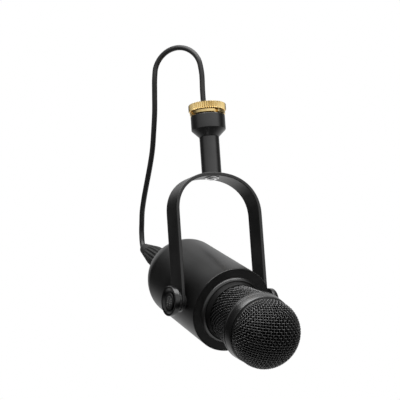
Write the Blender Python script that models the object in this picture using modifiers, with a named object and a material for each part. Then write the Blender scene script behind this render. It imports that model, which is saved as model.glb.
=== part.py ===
"""Studio condenser microphone in a yoke, hung from a threaded stem, with its plugged lead.

Metres, +Z up. The origin is on the stem's axis at the top face of the brass thread adapter.
The tilt axis of the yoke runs along X, and at rest the grille looks towards -Y and down.
"""
import bmesh
import bpy
import numpy as np
from math import cos, pi, radians, sin, sqrt
from mathutils import Matrix, Vector

# Gap kept between pieces that touch, and how round the turned pieces are
CLEARANCE = 0.0003
STEPS_LARGE = 36
STEPS_MEDIUM = 24
STEPS_SMALL = 16

# Brass thread adapter and lock ring
STAND_BORE_RADIUS = 0.0045
ADAPTER_NECK_RADIUS = 0.0079
ADAPTER_FLANGE_RADIUS = 0.0099
ADAPTER_FLANGE_TOP = -0.0053
ADAPTER_FLANGE_THICKNESS = 0.0011
ADAPTER_THREAD_LENGTH = 0.0085
FLANGE_SLOT_WIDTH = 0.0016
FLANGE_SLOT_DEPTH = 0.0017
LOCK_RING_RADIUS = 0.01125
LOCK_RING_HEIGHT = 0.0044
LOCK_RING_CHAMFER = 0.0004

# Stem: collar, conical shoulder and tube
COLLAR_RADIUS = 0.0103
COLLAR_HEIGHT = 0.0090
SHOULDER_HEIGHT = 0.0043
TUBE_RADIUS = 0.0059
CROWN_DEPTH = 0.0427

# Yoke: a flat strip bent to an inverted U with a flattened arch, and the screw that holds it to the stem
STRIP_WIDTH = 0.0127
STRIP_THICKNESS = 0.0021
YOKE_SIDE_GAP = 0.0016
PIVOT_DEPTH = 0.11985
YOKE_ARCH_RISE = 0.0247
YOKE_ARCH_FULLNESS = 2.23
YOKE_ARCH_SEGMENTS = 24
YOKE_END_SEGMENTS = 6
SCREW_RADIUS = 0.0020
SCREW_HEAD_RADIUS = 0.0042
SCREW_HEAD_HEIGHT = 0.0016
SCREW_REACH = 0.0110

# Tilt pivot hardware, one set on each side
STUD_RADIUS = 0.0025
SPACER_RADIUS = 0.0046
NUT_RADIUS = 0.0050
NUT_THICKNESS = 0.0042
WASHER_RADIUS = 0.0063
WASHER_THICKNESS = 0.0022
KNOB_RADIUS = 0.0088
KNOB_THICKNESS = 0.0032
KNOB_BORE_DEPTH = 0.0012
KNOB_RIM_WIDTH = 0.0017
KNOB_RECESS_DEPTH = 0.0013
KNOB_EDGE_ROUND = 0.0005
CAP_RADIUS = 0.0047
CAP_STAND_BACK = 0.0003

# Barrel, along its own axis: positive towards the grille, zero on the tilt axis
TILT_AT_REST = radians(28.67)
BARREL_FRONT = 0.0140
BARREL_FRONT_RADIUS = 0.0255
BARREL_REAR_RADIUS = 0.0242
BARREL_WALL = 0.0020
DOME_START = -0.0454
DOME_LENGTH = 0.0274
DOME_POWER = 1.47
DOME_RINGS = 7
SOCKET_MOUTH_RADIUS = 0.0082

# Front bezel with its raised lip and collar
BEZEL_THICKNESS = 0.0030
BEZEL_FACE_WIDTH = 0.0060
BEZEL_LIP_HEIGHT = 0.0015
BEZEL_LIP_WIDTH = 0.0009
BEZEL_COLLAR_HEIGHT = 0.0045
BEZEL_COLLAR_WALL = 0.0006
BEZEL_LEDGE_WIDTH = 0.0020
BEZEL_LEDGE = 0.0010

# Grille: conical mesh sleeve, band ring and mesh dome
MESH_WALL = 0.0008
SLEEVE_INSIDE_LIP = 0.0030
SLEEVE_LENGTH = 0.0259
SLEEVE_FLARE = 0.0038
LINER_WALL = 0.0010
BAND_STANDS_PROUD = 0.0009
BAND_LENGTH = 0.0095
BAND_WALL = 0.0030
BAND_GROOVE_DEPTH = 0.0004
BAND_GROOVE_WIDTH = 0.0006
BAND_GROOVES_FROM_REAR = (0.0012, 0.0062)
BALL_RIM_SET_IN = 0.0004
BALL_INSIDE_BAND = 0.0005
BALL_SKIRT = 0.0032
BALL_NOSE = 0.0170
BALL_RINGS = 8
FOAM_WALL = 0.0035

# Capsule in its rubber mount
CAPSULE_RADIUS = 0.0115
CAPSULE_LENGTH = 0.0090
CAPSULE_BEHIND_BAND_FRONT = 0.0040
CAPSULE_RECESS_RADIUS = 0.0100
CAPSULE_RECESS_DEPTH = 0.0012
BACKPLATE_THICKNESS = 0.0006
DIAPHRAGM_RADIUS = 0.0098
DIAPHRAGM_THICKNESS = 0.0003
CLAMP_RING_HEIGHT = 0.0012
MOUNT_THICKNESS = 0.0040
MOUNT_BEHIND_BAND_FRONT = 0.0050

# Electronics in the barrel
BULKHEAD_THICKNESS = 0.0027
BULKHEAD_HOLE_RADIUS = 0.0030
BOARD_HALF_WIDTH = 0.0130
BOARD_THICKNESS = 0.0016
CAPACITOR_RADIUS = 0.0040
CAPACITOR_LENGTH = 0.0110
CAPACITOR_PLACE = (0.0060, -0.0120)
CAN_RADIUS = 0.0050
CAN_HEIGHT = 0.0070
CAN_PLACE = (-0.0050, -0.0240)

# Socket in the tail, and the plug of the lead
SOCKET_RADIUS = 0.0092
SOCKET_BORE_RADIUS = 0.0078
SOCKET_FRONT = -0.0420
INSERT_THICKNESS = 0.0030
PIN_RADIUS = 0.0009
PIN_CIRCLE_RADIUS = 0.0035
PIN_COUNT = 3
PIN_FRONT = -0.0396
PIN_REAR = -0.0560
PLUG_RADIUS = 0.0075
PLUG_WALL = 0.0011
PLUG_INSERT_REAR = -0.0600
GRIP_RADIUS = 0.0076
GRIP_SHOULDER_RADIUS = 0.0065
GRIP_SHOULDER_LENGTH = 0.0075
GRIP_FLUTES = 18
GRIP_FLUTE_DEPTH = 0.0005
GRIP_LENGTH = 0.0233
GRIP_STANDS_OFF = 0.0005
BOOT_RADIUS = 0.0049
BOOT_TIP_RADIUS = 0.0033
BOOT_LENGTH = 0.0073

# Lead: the free stretch from the plug, the coil tied behind the stem, the tail and the jack plug
CABLE_DIAMETER = 0.0033
CABLE_POINT_SPACING = 0.0056
CABLE_STRAIGHT = 0.0025
CABLE_ARCH_FOOT = 0.0280
CABLE_ARCH_RISE = 0.0165
CABLE_ARCH_POINTS = 8
STOW_BEARING = radians(30.4)
COIL_NEAR_SIDE = 0.0224
COIL_START_RADIUS = 0.0196
COIL_HEIGHT = -0.0163
COIL_PITCH = 0.0038
COIL_TURNS_IN = 2.75
COIL_TURNS = 5.75
COIL_POINTS_PER_TURN = 24
JACK_DISTANCE = 0.0158
JACK_TOP = -0.0043
JACK_BOOT_LENGTH = 0.0090
JACK_BOOT_TIP_RADIUS = 0.0023
JACK_SHELL_RADIUS = 0.0040
JACK_SHELL_LENGTH = 0.0120
JACK_PIN_RADIUS = 0.00175
JACK_PIN_LENGTH = 0.0140
TIE_WIDTH = 0.0024
TIE_THICKNESS = 0.0008
TIE_NEAR = 0.0093
TIE_END_DISTANCE = 0.0342
TIE_CORNER_RADIUS = 0.0004
TIE_ARC_STEPS = 8
TIE_BASE_HALF_WIDTH = 0.0036
TIE_BASE_HEIGHT = 0.0056
TIE_BASE_BRIDGE = 0.0014

# Sizes that follow from those above
ADAPTER_FLANGE_BOTTOM = ADAPTER_FLANGE_TOP - ADAPTER_FLANGE_THICKNESS
COLLAR_TOP = ADAPTER_FLANGE_BOTTOM - CLEARANCE
COLLAR_BOTTOM = COLLAR_TOP - COLLAR_HEIGHT
SHOULDER_BOTTOM = COLLAR_BOTTOM - SHOULDER_HEIGHT
CROWN_Z = -CROWN_DEPTH
PIVOT = Vector((0.0, 0.0, -PIVOT_DEPTH))
YOKE_HALF_GAP = BARREL_FRONT_RADIUS + YOKE_SIDE_GAP
YOKE_OUTER = YOKE_HALF_GAP + STRIP_THICKNESS
KNOB_INNER_FACE = YOKE_OUTER + CLEARANCE + WASHER_THICKNESS + CLEARANCE
KNOB_OUTER_FACE = KNOB_INNER_FACE + KNOB_THICKNESS
BEZEL_BACK = BARREL_FRONT - BEZEL_THICKNESS
BEZEL_LIP_RADIUS = BARREL_FRONT_RADIUS - BEZEL_FACE_WIDTH
SLEEVE_REAR_RADIUS = BEZEL_LIP_RADIUS - SLEEVE_INSIDE_LIP
SLEEVE_FRONT_RADIUS = SLEEVE_REAR_RADIUS + SLEEVE_FLARE
BEZEL_BORE_RADIUS = SLEEVE_REAR_RADIUS - BEZEL_LEDGE_WIDTH
BAND_RADIUS = SLEEVE_FRONT_RADIUS + BAND_STANDS_PROUD
BAND_BORE_RADIUS = BAND_RADIUS - BAND_WALL
BALL_RADIUS = BAND_RADIUS - BALL_INSIDE_BAND
BALL_RIM_RADIUS = BALL_RADIUS - BALL_RIM_SET_IN
SLEEVE_REAR = BARREL_FRONT + BEZEL_LEDGE + CLEARANCE
SLEEVE_FRONT = SLEEVE_REAR + SLEEVE_LENGTH
BAND_REAR = SLEEVE_FRONT + CLEARANCE
BAND_FRONT = BAND_REAR + BAND_LENGTH
BALL_REAR = BAND_FRONT + CLEARANCE
GRIP_FRONT_OFFSET = CLEARANCE + GRIP_STANDS_OFF

for existing in list(bpy.data.objects):
    bpy.data.objects.remove(existing, do_unlink=True)

parts = bpy.data.collections.new("condenser_microphone")
cutters = bpy.data.collections.new("cutters")
bpy.context.scene.collection.children.link(parts)
bpy.context.scene.collection.children.link(cutters)


def finish(name, colour, roughness, metallic):
    material = bpy.data.materials.new(name)
    material.use_nodes = True
    shader = material.node_tree.nodes["Principled BSDF"]
    shader.inputs["Base Color"].default_value = (*colour, 1.0)
    shader.inputs["Roughness"].default_value = roughness
    shader.inputs["Metallic"].default_value = metallic
    return material


BRASS = ("brass", (0.78, 0.57, 0.25), 0.35, 1.0)
BLACK_PAINT = ("black paint", (0.025, 0.025, 0.027), 0.5, 0.0)
BLACK_PLASTIC = ("black plastic", (0.02, 0.02, 0.02), 0.45, 0.0)
BLACK_MESH = ("black mesh", (0.03, 0.03, 0.03), 0.4, 0.6)
RUBBER = ("rubber", (0.015, 0.015, 0.015), 0.8, 0.0)
FOAM = ("foam", (0.02, 0.02, 0.02), 0.95, 0.0)
STEEL = ("steel", (0.6, 0.6, 0.6), 0.3, 1.0)
GOLD_FILM = ("gold film", (0.85, 0.65, 0.3), 0.25, 1.0)
BOARD_GREEN = ("board green", (0.02, 0.16, 0.07), 0.5, 0.0)


def empty(name, location, turn):
    holder = bpy.data.objects.new(name, None)
    holder.location = location
    holder.rotation_euler = turn
    parts.objects.link(holder)
    return holder


# The barrel's own frame: local Z runs along its axis towards the grille, local X along the tilt axis
mic_axis = empty("mic_axis", PIVOT, (pi / 2 + TILT_AT_REST, 0.0, 0.0))
# The stowed lead's frame: local Y runs straight away behind the stem
stow_axis = empty("stow_axis", (0.0, 0.0, 0.0), (0.0, 0.0, -STOW_BEARING))


def place(item, surface, parent=None, location=(0.0, 0.0, 0.0), turn=(0.0, 0.0, 0.0)):
    item.location = location
    item.rotation_euler = turn
    item.parent = parent
    item.data.materials.append(finish(f"{item.name} {surface[0]}", *surface[1:]))
    parts.objects.link(item)
    return item


def turned(name, profile, surface, steps, ring=False, **where):
    """Solid of revolution about local Z: (radius, height) points from the top down the outer side."""
    points = [(radius, 0.0, height) for radius, height in profile]
    edges = [(i, i + 1) for i in range(len(points) - 1)]
    if ring:
        edges.append((len(points) - 1, 0))
    mesh = bpy.data.meshes.new(name)
    mesh.from_pydata(points, edges, [])
    item = bpy.data.objects.new(name, mesh)
    screw = item.modifiers.new("revolve", "SCREW")
    screw.axis = "Z"
    screw.steps = steps
    screw.render_steps = steps
    screw.use_merge_vertices = True
    screw.merge_threshold = 1e-6
    screw.use_smooth_shade = True
    return place(item, surface, **where)


def tube(name, outer, inner, top, bottom, surface, steps, **where):
    profile = [(outer, top), (outer, bottom), (inner, bottom), (inner, top)]
    return turned(name, profile, surface, steps, ring=True, **where)


def rod(name, radius, top, bottom, surface, steps, **where):
    profile = [(0.0, top), (radius, top), (radius, bottom), (0.0, bottom)]
    return turned(name, profile, surface, steps, **where)


def block(name, size, centre, surface, **where):
    mesh = bpy.data.meshes.new(name)
    shape = bmesh.new()
    bmesh.ops.create_cube(shape, size=1.0)
    bmesh.ops.scale(shape, vec=size, verts=shape.verts)
    bmesh.ops.translate(shape, vec=centre, verts=shape.verts)
    shape.to_mesh(mesh)
    shape.free()
    return place(bpy.data.objects.new(name, mesh), surface, **where)


def cutter(name, mesh, parent=None):
    item = bpy.data.objects.new(name, mesh)
    item.hide_render = True
    item.display_type = "WIRE"
    item.parent = parent
    cutters.objects.link(item)
    return item


def drill(target, name, radius, length, centre, axis, parent=None, segments=STEPS_SMALL):
    """Cuts a round hole along axis, given as X, Y or Z, through a target."""
    turns = {"X": Matrix.Rotation(pi / 2, 4, "Y"), "Y": Matrix.Rotation(pi / 2, 4, "X"), "Z": Matrix()}
    mesh = bpy.data.meshes.new(name)
    shape = bmesh.new()
    bmesh.ops.create_cone(shape, cap_ends=True, segments=segments, radius1=radius, radius2=radius,
                          depth=length, matrix=Matrix.Translation(centre) @ turns[axis])
    shape.to_mesh(mesh)
    shape.free()
    cut(target, cutter(name, mesh, parent))


def notch(target, name, size, centre, parent=None):
    mesh = bpy.data.meshes.new(name)
    shape = bmesh.new()
    bmesh.ops.create_cube(shape, size=1.0)
    bmesh.ops.scale(shape, vec=size, verts=shape.verts)
    bmesh.ops.translate(shape, vec=centre, verts=shape.verts)
    shape.to_mesh(mesh)
    shape.free()
    cut(target, cutter(name, mesh, parent))


def cut(target, tool):
    boolean = target.modifiers.new(tool.name, "BOOLEAN")
    boolean.operation = "DIFFERENCE"
    boolean.solver = "EXACT"
    boolean.object = tool


def thread_adapter():
    bottom = ADAPTER_FLANGE_BOTTOM - ADAPTER_THREAD_LENGTH
    neck = ADAPTER_NECK_RADIUS
    flange = ADAPTER_FLANGE_RADIUS
    profile = [(neck, 0.0), (neck, ADAPTER_FLANGE_TOP), (flange, ADAPTER_FLANGE_TOP),
               (flange, ADAPTER_FLANGE_BOTTOM), (neck, ADAPTER_FLANGE_BOTTOM), (neck, bottom),
               (STAND_BORE_RADIUS, bottom), (STAND_BORE_RADIUS, 0.0)]
    item = turned("thread_adapter", profile, BRASS, STEPS_MEDIUM, ring=True)
    height = ADAPTER_FLANGE_THICKNESS + 2 * CLEARANCE
    middle = (ADAPTER_FLANGE_TOP + ADAPTER_FLANGE_BOTTOM) / 2
    for side in (-1, 1):
        size = (FLANGE_SLOT_WIDTH, 2 * FLANGE_SLOT_DEPTH, height)
        notch(item, f"flange slot {side}", size, (0.0, side * flange, middle))


def lock_ring():
    outer = LOCK_RING_RADIUS
    inner = ADAPTER_NECK_RADIUS + CLEARANCE
    chamfer = LOCK_RING_CHAMFER
    low = -LOCK_RING_HEIGHT
    profile = [(outer - chamfer, 0.0), (outer, -chamfer), (outer, low + chamfer), (outer - chamfer, low),
               (inner, low), (inner, 0.0)]
    turned("lock_ring", profile, BRASS, STEPS_MEDIUM, ring=True)


def stem():
    bore = ADAPTER_NECK_RADIUS + CLEARANCE
    bore_floor = ADAPTER_FLANGE_BOTTOM - ADAPTER_THREAD_LENGTH - CLEARANCE
    bottom = CROWN_Z + CLEARANCE
    profile = [(0.0, bore_floor), (bore, bore_floor), (bore, COLLAR_TOP), (COLLAR_RADIUS, COLLAR_TOP),
               (COLLAR_RADIUS, COLLAR_BOTTOM), (TUBE_RADIUS, SHOULDER_BOTTOM), (TUBE_RADIUS, bottom),
               (0.0, bottom)]
    item = turned("stem", profile, BLACK_PAINT, STEPS_MEDIUM)
    drill(item, "stem screw hole", SCREW_RADIUS + CLEARANCE, 2 * (SCREW_REACH + CLEARANCE),
          (0.0, 0.0, CROWN_Z), "Z")


def arch_drop(half_width, rise, across):
    """How far an arch with a flattened crown has fallen at a distance from its middle."""
    return rise - rise * (1 - (across / half_width) ** YOKE_ARCH_FULLNESS) ** (1 / YOKE_ARCH_FULLNESS)


def yoke():
    """Ribbon over the outer face of the strip, with rounded ends, thickened inwards."""
    outline = [(-YOKE_OUTER, -PIVOT_DEPTH - STRIP_WIDTH / 2)]
    for i in range(YOKE_ARCH_SEGMENTS + 1):
        angle = pi * i / YOKE_ARCH_SEGMENTS
        across = YOKE_OUTER * abs(cos(angle)) ** (2 / YOKE_ARCH_FULLNESS)
        side = -1 if 2 * i < YOKE_ARCH_SEGMENTS else 1
        outline.append((side * across, CROWN_Z - arch_drop(YOKE_OUTER, YOKE_ARCH_RISE, across)))
    outline.append((YOKE_OUTER, -PIVOT_DEPTH - STRIP_WIDTH / 2))
    mesh = bpy.data.meshes.new("yoke_bracket")
    shape = bmesh.new()
    front = [shape.verts.new((x, -STRIP_WIDTH / 2, z)) for x, z in outline]
    back = [shape.verts.new((x, STRIP_WIDTH / 2, z)) for x, z in outline]
    for i in range(len(outline) - 1):
        shape.faces.new((front[i], front[i + 1], back[i + 1], back[i]))
    corners = [front[0], back[0], front[-1], back[-1]]
    bmesh.ops.bevel(shape, geom=corners, offset=STRIP_WIDTH / 2 - CLEARANCE, segments=YOKE_END_SEGMENTS,
                    profile=0.5, affect="VERTICES")
    shape.to_mesh(mesh)
    shape.free()
    item = place(bpy.data.objects.new("yoke_bracket", mesh), BLACK_PAINT)
    wall = item.modifiers.new("strip", "SOLIDIFY")
    wall.thickness = STRIP_THICKNESS
    wall.offset = -1.0
    wall.use_even_offset = True
    drill(item, "yoke pivot hole", STUD_RADIUS + CLEARANCE, 3 * YOKE_OUTER, PIVOT, "X")
    drill(item, "yoke crown hole", SCREW_RADIUS + CLEARANCE, 4 * STRIP_THICKNESS, (0.0, 0.0, CROWN_Z), "Z")


def yoke_screw():
    drop = arch_drop(YOKE_HALF_GAP, YOKE_ARCH_RISE - STRIP_THICKNESS, SCREW_HEAD_RADIUS)
    head_top = CROWN_Z - STRIP_THICKNESS - drop - CLEARANCE
    head_low = head_top - SCREW_HEAD_HEIGHT
    top = CROWN_Z + SCREW_REACH
    profile = [(0.0, top), (SCREW_RADIUS, top), (SCREW_RADIUS, head_top), (SCREW_HEAD_RADIUS, head_top),
               (SCREW_HEAD_RADIUS, head_low), (0.0, head_low)]
    turned("yoke_screw", profile, STEEL, STEPS_SMALL)


def pivot_set(side, prefix):
    """Knob, cap, stud, washers and nut of one side, turned about the tilt axis and facing outwards."""
    where = {"location": PIVOT, "turn": (0.0, side * pi / 2, 0.0)}
    bore = STUD_RADIUS + CLEARANCE
    inner = KNOB_INNER_FACE
    outer = KNOB_OUTER_FACE
    floor = outer - KNOB_RECESS_DEPTH
    bore_end = inner + KNOB_BORE_DEPTH
    lip = KNOB_RADIUS - KNOB_RIM_WIDTH
    edge = KNOB_EDGE_ROUND
    knob = [(0.0, floor), (lip, floor), (lip, outer), (KNOB_RADIUS - edge, outer),
            (KNOB_RADIUS, outer - edge), (KNOB_RADIUS, inner), (bore, inner), (bore, bore_end),
            (0.0, bore_end)]
    turned(f"{prefix}_knob", knob, BLACK_PLASTIC, STEPS_MEDIUM, **where)
    rod(f"{prefix}_knob_cap", CAP_RADIUS, outer - CAP_STAND_BACK, floor + CLEARANCE, BLACK_PAINT,
        STEPS_MEDIUM, **where)
    tube(f"{prefix}_knob_washer", WASHER_RADIUS, bore, inner - CLEARANCE, YOKE_OUTER + CLEARANCE,
         BLACK_PLASTIC, STEPS_SMALL, **where)
    tube(f"{prefix}_spacer", SPACER_RADIUS, bore, YOKE_HALF_GAP - CLEARANCE,
         barrel_radius(SPACER_RADIUS) + CLEARANCE, RUBBER, STEPS_SMALL, **where)
    nut_face = sqrt((barrel_radius(-NUT_RADIUS) - BARREL_WALL) ** 2 - NUT_RADIUS ** 2) - CLEARANCE
    nut_back = nut_face - NUT_THICKNESS
    tube(f"{prefix}_pivot_nut", NUT_RADIUS, bore, nut_face, nut_back, BRASS, STEPS_SMALL, **where)
    rod(f"{prefix}_pivot_stud", STUD_RADIUS, bore_end - CLEARANCE, nut_back, STEEL, STEPS_SMALL, **where)


def barrel_radius(along):
    share = (BARREL_FRONT - along) / (BARREL_FRONT - DOME_START)
    return BARREL_FRONT_RADIUS + (BARREL_REAR_RADIUS - BARREL_FRONT_RADIUS) * share


def dome_share(radius, full_radius):
    """How far along the dome, from 0 to 1, its radius has shrunk to the one given."""
    return (1.0 - (radius / full_radius) ** DOME_POWER) ** (1.0 / DOME_POWER)


def dome_points(full_radius, length):
    """Dome profile from the end of the barrel's side to the edge of the socket mouth."""
    last = dome_share(SOCKET_MOUTH_RADIUS, full_radius)
    points = []
    for i in range(1, DOME_RINGS):
        share = last * (i / DOME_RINGS) ** 1.3
        radius = full_radius * (1.0 - share ** DOME_POWER) ** (1.0 / DOME_POWER)
        points.append((radius, DOME_START - share * length))
    points.append((SOCKET_MOUTH_RADIUS, DOME_START - last * length))
    return points


def barrel():
    inner_rear = BARREL_REAR_RADIUS - BARREL_WALL
    outer = [(BARREL_FRONT_RADIUS, BARREL_FRONT), (BARREL_REAR_RADIUS, DOME_START)]
    outer += dome_points(BARREL_REAR_RADIUS, DOME_LENGTH)
    inner = [(BARREL_FRONT_RADIUS - BARREL_WALL, BARREL_FRONT), (inner_rear, DOME_START)]
    inner += dome_points(inner_rear, DOME_LENGTH - BARREL_WALL)
    item = turned("barrel_shell", outer + inner[::-1], BLACK_PAINT, STEPS_LARGE, ring=True, parent=mic_axis)
    drill(item, "barrel pivot hole", STUD_RADIUS + CLEARANCE, 3 * BARREL_FRONT_RADIUS, (0.0, 0.0, 0.0), "X",
          parent=mic_axis)


def sleeve_radius(along):
    share = (along - SLEEVE_REAR) / SLEEVE_LENGTH
    return SLEEVE_REAR_RADIUS + (SLEEVE_FRONT_RADIUS - SLEEVE_REAR_RADIUS) * share


def bezel():
    rim = barrel_radius(BEZEL_BACK) - BARREL_WALL - CLEARANCE
    lip = BARREL_FRONT + BEZEL_LIP_HEIGHT
    top = BARREL_FRONT + BEZEL_COLLAR_HEIGHT
    ledge = BARREL_FRONT + BEZEL_LEDGE
    bore = sleeve_radius(top) + CLEARANCE
    collar = bore + BEZEL_COLLAR_WALL
    profile = [(collar, top), (BEZEL_LIP_RADIUS - BEZEL_LIP_WIDTH, lip), (BEZEL_LIP_RADIUS, lip),
               (BEZEL_LIP_RADIUS, BARREL_FRONT), (rim, BARREL_FRONT), (rim, BEZEL_BACK),
               (BEZEL_BORE_RADIUS, BEZEL_BACK), (BEZEL_BORE_RADIUS, ledge), (bore, ledge), (bore, top)]
    turned("front_bezel", profile, BLACK_PLASTIC, STEPS_LARGE, ring=True, parent=mic_axis)


def cone_shell(name, rear, front, wall, surface):
    profile = [(front, SLEEVE_FRONT), (rear, SLEEVE_REAR), (rear - wall, SLEEVE_REAR),
               (front - wall, SLEEVE_FRONT)]
    turned(name, profile, surface, STEPS_LARGE, ring=True, parent=mic_axis)


def sleeve():
    cone_shell("rear_mesh_sleeve", SLEEVE_REAR_RADIUS, SLEEVE_FRONT_RADIUS, MESH_WALL, BLACK_MESH)
    inset = MESH_WALL + CLEARANCE
    cone_shell("sleeve_liner", SLEEVE_REAR_RADIUS - inset, SLEEVE_FRONT_RADIUS - inset, LINER_WALL, FOAM)


def band():
    outer = BAND_RADIUS
    waist = BAND_RADIUS - BAND_GROOVE_DEPTH
    profile = [(waist, BAND_FRONT), (outer, BAND_FRONT - BAND_GROOVE_WIDTH)]
    for offset in sorted(BAND_GROOVES_FROM_REAR, reverse=True):
        high = BAND_REAR + offset + BAND_GROOVE_WIDTH
        low = BAND_REAR + offset
        profile += [(outer, high), (waist, high), (waist, low), (outer, low)]
    profile += [(outer, BAND_REAR + BAND_GROOVE_WIDTH), (waist, BAND_REAR), (BAND_BORE_RADIUS, BAND_REAR),
                (BAND_BORE_RADIUS, BAND_FRONT)]
    turned("grille_band", profile, BLACK_PAINT, STEPS_LARGE, ring=True, parent=mic_axis)


def ball_profile(inset, base):
    """Half outline of the mesh dome from its nose down to its rim, moved inwards by inset."""
    widest = BALL_REAR + BALL_SKIRT
    points = []
    for i in range(BALL_RINGS + 1):
        angle = pi / 2 * (1.0 - i / BALL_RINGS)
        points.append(((BALL_RADIUS - inset) * cos(angle), widest + (BALL_NOSE - inset) * sin(angle)))
    points[0] = (0.0, points[0][1])
    points.append((BALL_RIM_RADIUS - inset, base))
    return points


def ball():
    outer = ball_profile(0.0, BALL_REAR)
    inner = ball_profile(MESH_WALL, BALL_REAR)
    turned("front_mesh", outer + inner[::-1], BLACK_MESH, STEPS_LARGE, parent=mic_axis)
    foam_outer = MESH_WALL + CLEARANCE
    foam = ball_profile(foam_outer, BALL_REAR) + ball_profile(foam_outer + FOAM_WALL, BALL_REAR)[::-1]
    turned("grille_foam", foam, FOAM, STEPS_MEDIUM, parent=mic_axis)


def capsule():
    top = BAND_FRONT - CAPSULE_BEHIND_BAND_FRONT + CAPSULE_LENGTH
    bottom = top - CAPSULE_LENGTH
    floor = top - CAPSULE_RECESS_DEPTH
    housing = [(0.0, floor), (CAPSULE_RECESS_RADIUS, floor), (CAPSULE_RECESS_RADIUS, top),
               (CAPSULE_RADIUS, top), (CAPSULE_RADIUS, bottom), (0.0, bottom)]
    where = {"parent": mic_axis}
    turned("capsule_housing", housing, BRASS, STEPS_MEDIUM, **where)
    plate = CAPSULE_RECESS_RADIUS - CLEARANCE
    rod("capsule_backplate", plate, floor + CLEARANCE + BACKPLATE_THICKNESS, floor + CLEARANCE, BRASS,
        STEPS_MEDIUM, **where)
    film = top + CLEARANCE
    rod("capsule_diaphragm", DIAPHRAGM_RADIUS, film + DIAPHRAGM_THICKNESS, film, GOLD_FILM, STEPS_MEDIUM,
        **where)
    tube("capsule_clamp_ring", CAPSULE_RADIUS, DIAPHRAGM_RADIUS + CLEARANCE, film + CLAMP_RING_HEIGHT, film,
         BRASS, STEPS_MEDIUM, **where)
    mount_top = BAND_FRONT - MOUNT_BEHIND_BAND_FRONT + MOUNT_THICKNESS
    tube("capsule_mount", BAND_BORE_RADIUS - CLEARANCE, CAPSULE_RADIUS + CLEARANCE, mount_top,
         mount_top - MOUNT_THICKNESS, RUBBER, STEPS_MEDIUM, **where)


def electronics():
    where = {"parent": mic_axis}
    bulkhead_top = BEZEL_BACK - CLEARANCE
    bulkhead_low = bulkhead_top - BULKHEAD_THICKNESS
    rim = barrel_radius(bulkhead_low) - BARREL_WALL - CLEARANCE
    tube("bulkhead", rim, BULKHEAD_HOLE_RADIUS, bulkhead_top, bulkhead_low, BLACK_PLASTIC, STEPS_MEDIUM,
         **where)
    board_top = bulkhead_low - CLEARANCE
    board_low = PIN_FRONT + CLEARANCE
    size = (2 * BOARD_HALF_WIDTH, BOARD_THICKNESS, board_top - board_low)
    block("circuit_board", size, (0.0, 0.0, (board_top + board_low) / 2), BOARD_GREEN, **where)
    face = BOARD_THICKNESS / 2 + CLEARANCE
    across, along = CAPACITOR_PLACE
    rod("filter_capacitor", CAPACITOR_RADIUS, along + CAPACITOR_LENGTH / 2, along - CAPACITOR_LENGTH / 2,
        BLACK_PLASTIC, STEPS_SMALL, location=(across, face + CAPACITOR_RADIUS, 0.0), **where)
    across, along = CAN_PLACE
    rod("amplifier_can", CAN_RADIUS, CAN_HEIGHT, 0.0, STEEL, STEPS_SMALL, location=(across, face, along),
        turn=(-pi / 2, 0.0, 0.0), **where)


def socket():
    where = {"parent": mic_axis}
    inner_rear = BARREL_REAR_RADIUS - BARREL_WALL
    seat = dome_share(SOCKET_RADIUS + CLEARANCE, inner_rear)
    rear = DOME_START - seat * (DOME_LENGTH - BARREL_WALL)
    tube("socket_shell", SOCKET_RADIUS, SOCKET_BORE_RADIUS, SOCKET_FRONT, rear, STEEL, STEPS_LARGE, **where)
    insert_rear = SOCKET_FRONT - INSERT_THICKNESS
    insert = rod("socket_insert", SOCKET_BORE_RADIUS - CLEARANCE, SOCKET_FRONT, insert_rear, BLACK_PLASTIC,
                 STEPS_MEDIUM, **where)
    plug_front = insert_rear - CLEARANCE
    plug_rear = DOME_START - dome_share(SOCKET_MOUTH_RADIUS, BARREL_REAR_RADIUS) * DOME_LENGTH
    tube("plug_body", PLUG_RADIUS, PLUG_RADIUS - PLUG_WALL, plug_front, plug_rear, STEEL, STEPS_MEDIUM,
         **where)
    core = rod("plug_insert", PLUG_RADIUS - PLUG_WALL - CLEARANCE, plug_front, PLUG_INSERT_REAR,
               BLACK_PLASTIC, STEPS_MEDIUM, **where)
    for i in range(PIN_COUNT):
        angle = pi / 2 + 2 * pi * i / PIN_COUNT
        across = PIN_CIRCLE_RADIUS * cos(angle)
        up = PIN_CIRCLE_RADIUS * sin(angle)
        rod(f"socket_pin_{i + 1}", PIN_RADIUS, PIN_FRONT, PIN_REAR, BRASS, STEPS_SMALL // 2,
            location=(across, up, 0.0), **where)
        for target in (insert, core):
            drill(target, f"{target.name} pin hole {i + 1}", PIN_RADIUS + CLEARANCE,
                  2 * (PIN_FRONT - PIN_REAR), (across, up, PIN_REAR), "Z", parent=mic_axis,
                  segments=STEPS_SMALL // 2)
    grip_front = plug_rear - GRIP_FRONT_OFFSET
    grip_rear = plug_grip(grip_front)
    boot_front = grip_rear - CLEARANCE
    boot_rear = boot_front - BOOT_LENGTH
    boot = [(0.0, boot_front), (BOOT_RADIUS, boot_front), (BOOT_TIP_RADIUS, boot_rear), (0.0, boot_rear)]
    turned("plug_boot", boot, RUBBER, STEPS_MEDIUM, **where)
    return boot_rear


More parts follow.
